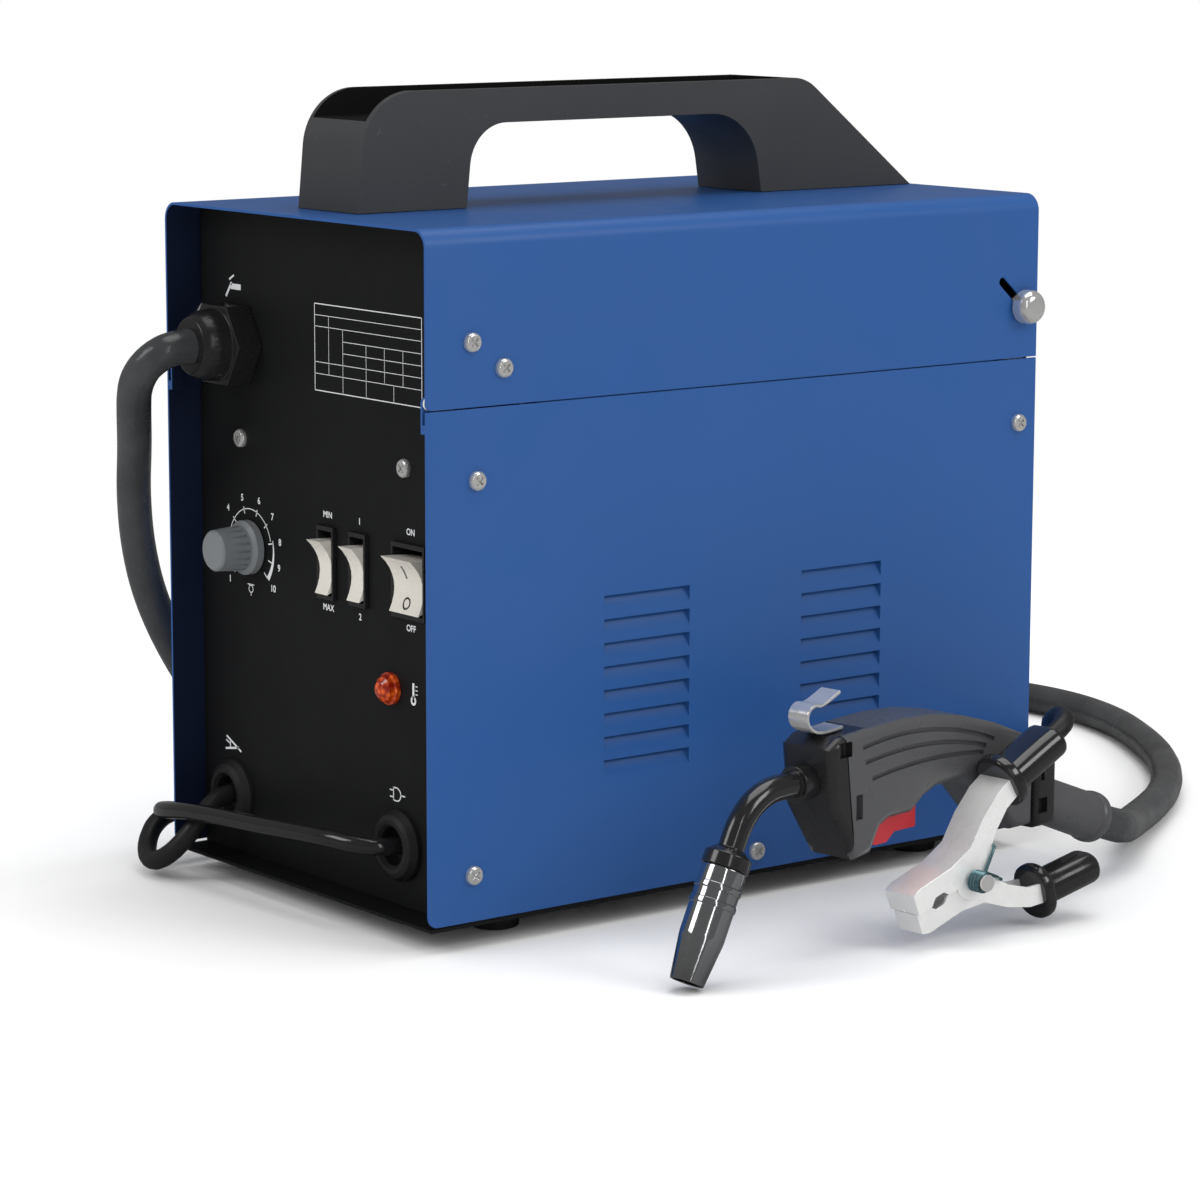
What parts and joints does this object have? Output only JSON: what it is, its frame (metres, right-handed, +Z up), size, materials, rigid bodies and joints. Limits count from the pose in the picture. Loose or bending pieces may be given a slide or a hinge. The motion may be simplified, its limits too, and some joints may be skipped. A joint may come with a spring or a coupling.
{
  "type": "mig welding machine",
  "caption": "Compact gasless MIG welder in a blue sheet-metal case with a top handle, hinged lid, torch on a hose, spring earth clamp and mains lead.",
  "frame": {"origin": "on the floor, under the middle of the case", "axes": "+X towards the louvred side beside which the torch lies, -Y out of the control panel, +Z up"},
  "size_m": [0.4734, 0.6253, 0.365],
  "materials": {
    "cover_paint": "semi-gloss powder coat",
    "panel_paint": "satin powder coat",
    "zinc_plate": "zinc plated",
    "bright_screws": "nickel plated",
    "spring_steel": "blued",
    "handle_plastic": "fine texture",
    "black_plastic": "moulded",
    "knob_plastic": "moulded",
    "rocker_plastic": "moulded",
    "lamp_lens": "clear orange",
    "trigger_plastic": "moulded",
    "black_rubber": "moulded",
    "brass_parts": "turned",
    "copper_tip": "turned copper",
    "nozzle_chrome": "polished",
    "neck_tube": "black sleeve",
    "core_steel": "laminated",
    "alloy": "cast and extruded",
    "roller_steel": "ground",
    "wound_wire": "flux cored wire",
    "board_green": "solder mask"
  },
  "bodies": {
    "root": {"base_pan": "panel_paint", "bulkhead": "zinc_plate", "cable_grommets": "black_rubber", "chassis_screws": "bright_screws", "clamp_lower_grip": "black_rubber", "clamp_lower_jaw": "zinc_plate", "clamp_pin": "bright_screws", "clamp_spring": "spring_steel", "contact_tip": "copper_tip", "control_board": "board_green", "drive_motor": "alloy", "earth_cable": "black_rubber", "fan_frame": "black_plastic", "front_panel": "panel_paint", "gland_nut": "zinc_plate", "latch_catch": "zinc_plate", "left_side_panel": "cover_paint", "mains_cable": "black_rubber", "mains_coil": "black_rubber", "mains_plug": "black_rubber", "narrow_switch_bodies": "black_plastic", "plug_pins": "brass_parts", "power_switch_body": "black_plastic", "rear_panel": "panel_paint", "rectifier": "alloy", "right_side_panel": "cover_paint", "rubber_feet": "black_rubber", "spool_axle": "alloy", "spool_nut": "zinc_plate", "thermal_lamp": "lamp_lens", "torch_gland": "black_plastic", "torch_hook": "bright_screws", "torch_hose": "black_rubber", "torch_neck": "neck_tube", "torch_nozzle": "nozzle_chrome", "torch_shell_left": "black_plastic", "torch_shell_right": "black_plastic", "torch_sleeve": "black_plastic", "transformer_core": "core_steel", "transformer_windings": "copper_tip"},
    "lid": {"lid": "cover_paint", "carry_handle": "handle_plastic", "lid_screws": "bright_screws", "lid_hinge_arms": "zinc_plate"},
    "latch": {"latch_knob": "bright_screws"},
    "speed_knob": {"speed_knob": "knob_plastic"},
    "rocker_min_max": {"rocker_min_max": "rocker_plastic"},
    "rocker_one_two": {"rocker_one_two": "rocker_plastic"},
    "rocker_power": {"rocker_power": "rocker_plastic"},
    "spool": {"wire_spool": "black_plastic", "welding_wire": "wound_wire"},
    "drive_roller": {"drive_roller": "roller_steel"},
    "pressure_arm": {"pressure_arm": "alloy"},
    "pressure_roller": {"pressure_roller": "roller_steel"},
    "tension_knob": {"tension_knob": "black_plastic"},
    "fan": {"fan_blades": "black_plastic"},
    "trigger": {"torch_trigger": "trigger_plastic"},
    "clamp_upper": {"clamp_upper_jaw": "zinc_plate", "clamp_upper_grip": "black_rubber"}
  },
  "joints": [
    {"name": "lid_hinge", "type": "hinge", "parent": "root", "child": "lid", "pos_m": [0, -0.173, 0.2388], "axis": [1, 0, 0], "range_deg": [0, 48]},
    {"name": "latch_slide", "type": "slide", "parent": "lid", "child": "latch", "axis": [0, -0.7422, 0.6702], "range_m": [0, 0.0178]},
    {"name": "speed_knob_turn", "type": "hinge", "parent": "root", "child": "speed_knob", "pos_m": [-0.0607, -0.159, 0.156], "axis": [0, 1, 0], "range_deg": [0, 270]},
    {"name": "rocker_min_max_tilt", "type": "hinge", "parent": "root", "child": "rocker_min_max", "pos_m": [0.003, -0.1565, 0.157], "axis": [1, 0, 0], "range_deg": [-20, 0]},
    {"name": "rocker_one_two_tilt", "type": "hinge", "parent": "root", "child": "rocker_one_two", "pos_m": [0.028, -0.1565, 0.157], "axis": [1, 0, 0], "range_deg": [-20, 0]},
    {"name": "rocker_power_tilt", "type": "hinge", "parent": "root", "child": "rocker_power", "pos_m": [0.067, -0.1565, 0.157], "axis": [1, 0, 0], "range_deg": [-20, 0]},
    {"name": "spool_spin", "type": "hinge", "parent": "root", "child": "spool", "pos_m": [-0.069, 0.06, 0.24], "axis": [1, 0, 0], "continuous": true},
    {"name": "drive_roller_spin", "type": "hinge", "parent": "root", "child": "drive_roller", "pos_m": [-0.069, -0.1, 0.2376], "axis": [1, 0, 0], "continuous": true},
    {"name": "pressure_arm_lift", "type": "hinge", "parent": "root", "child": "pressure_arm", "pos_m": [-0.055, -0.082, 0.261], "axis": [-1, 0, 0], "range_deg": [0, 35], "stiffness_Nm_per_rad": 0.5, "springref_deg": -22.92},
    {"name": "pressure_roller_spin", "type": "hinge", "parent": "pressure_arm", "child": "pressure_roller", "pos_m": [-0.069, -0.1, 0.2574], "axis": [1, 0, 0], "continuous": true},
    {"name": "tension_knob_turn", "type": "hinge", "parent": "pressure_arm", "child": "tension_knob", "pos_m": [-0.055, -0.12, 0.261], "axis": [0, 0, 1], "range_deg": [0, 360]},
    {"name": "fan_spin", "type": "hinge", "parent": "root", "child": "fan", "pos_m": [0.045, 0.1515, 0.11], "axis": [0, 1, 0], "continuous": true},
    {"name": "trigger_pull", "type": "hinge", "parent": "root", "child": "trigger", "pos_m": [0.19593, -0.01217, 0.064], "axis": [0.9895, 0.1448, 0], "range_deg": [0, 6], "stiffness_Nm_per_rad": 0.3, "springref_deg": -5.73},
    {"name": "clamp_open", "type": "hinge", "parent": "root", "child": "clamp_upper", "pos_m": [0.216, 0.027, 0.0278], "axis": [-0.9994, 0.0122, -0.0327], "range_deg": [0, 25], "stiffness_Nm_per_rad": 2, "springref_deg": -20.05, "deforming": ["earth_cable"]}
  ],
  "couplings": [
    {"joint": "drive_roller_spin", "follows": "spool_spin", "ratio": 3.8182},
    {"joint": "pressure_roller_spin", "follows": "spool_spin", "ratio": -5.25}
  ]
}
